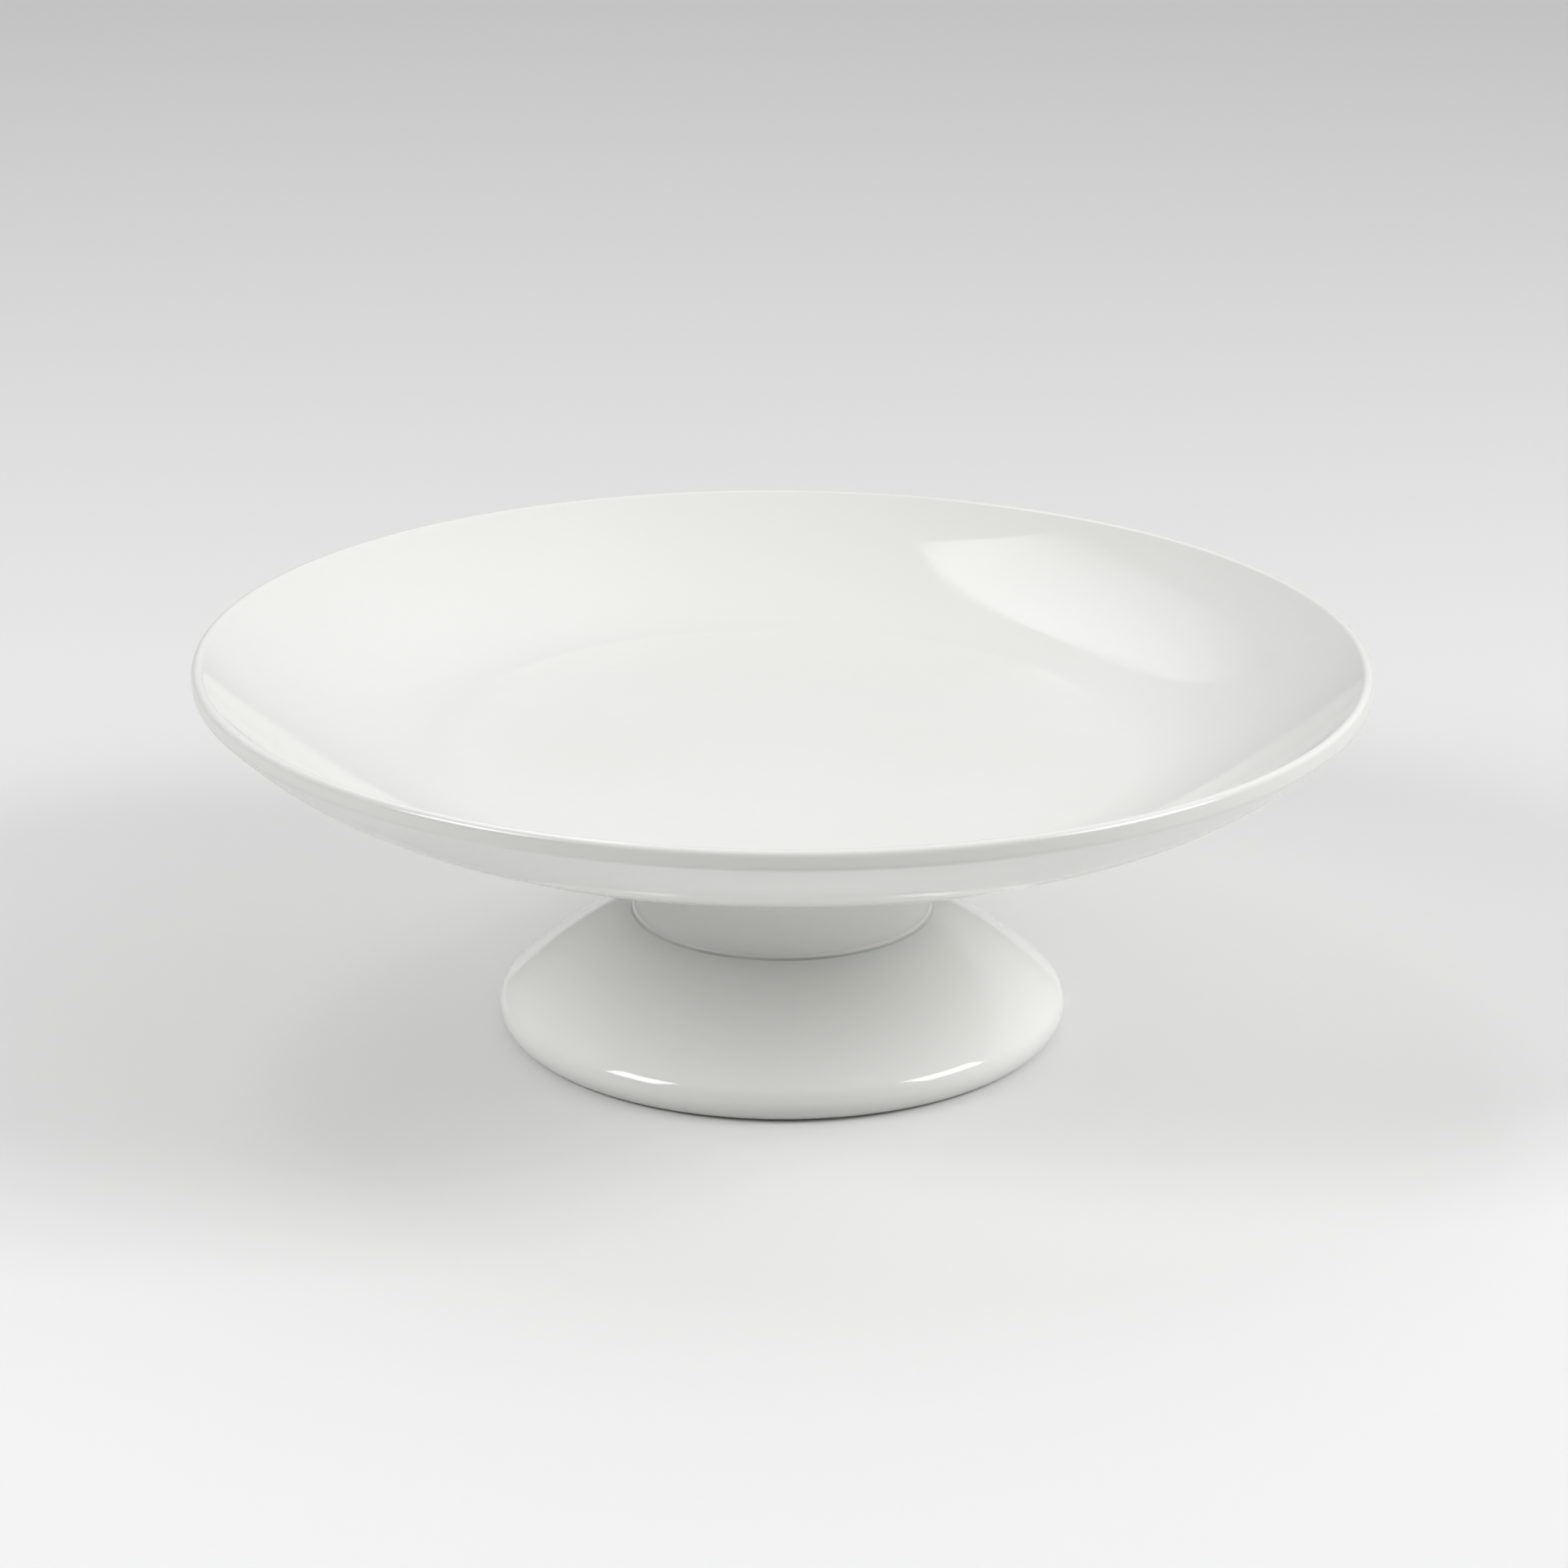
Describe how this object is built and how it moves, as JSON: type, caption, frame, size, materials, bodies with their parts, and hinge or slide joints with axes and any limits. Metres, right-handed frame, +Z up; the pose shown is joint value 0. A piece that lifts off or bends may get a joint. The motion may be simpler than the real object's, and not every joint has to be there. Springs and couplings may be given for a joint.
{
  "type": "cake stand",
  "caption": "Low footed cake stand: a round coupe plate with a raised rim on a flaring neck and a domed hollow foot, in white glazed porcelain.",
  "frame": {"origin": "on the surface that the stand rests on, under the middle of the foot ring", "axes": "+Z up along the axis of revolution; X and Y are level and interchangeable"},
  "size_m": [0.3, 0.3, 0.101],
  "materials": {
    "plate_glaze": "clear gloss glaze over white porcelain",
    "foot_glaze": "clear gloss glaze over white porcelain, bare biscuit on the foot ring",
    "fired_slip": "fired slip, shaded in a fine recessed line"
  },
  "bodies": {
    "root": {"plate": "plate_glaze", "foot": "foot_glaze", "joint_slip": "fired_slip"}
  },
  "joints": []
}
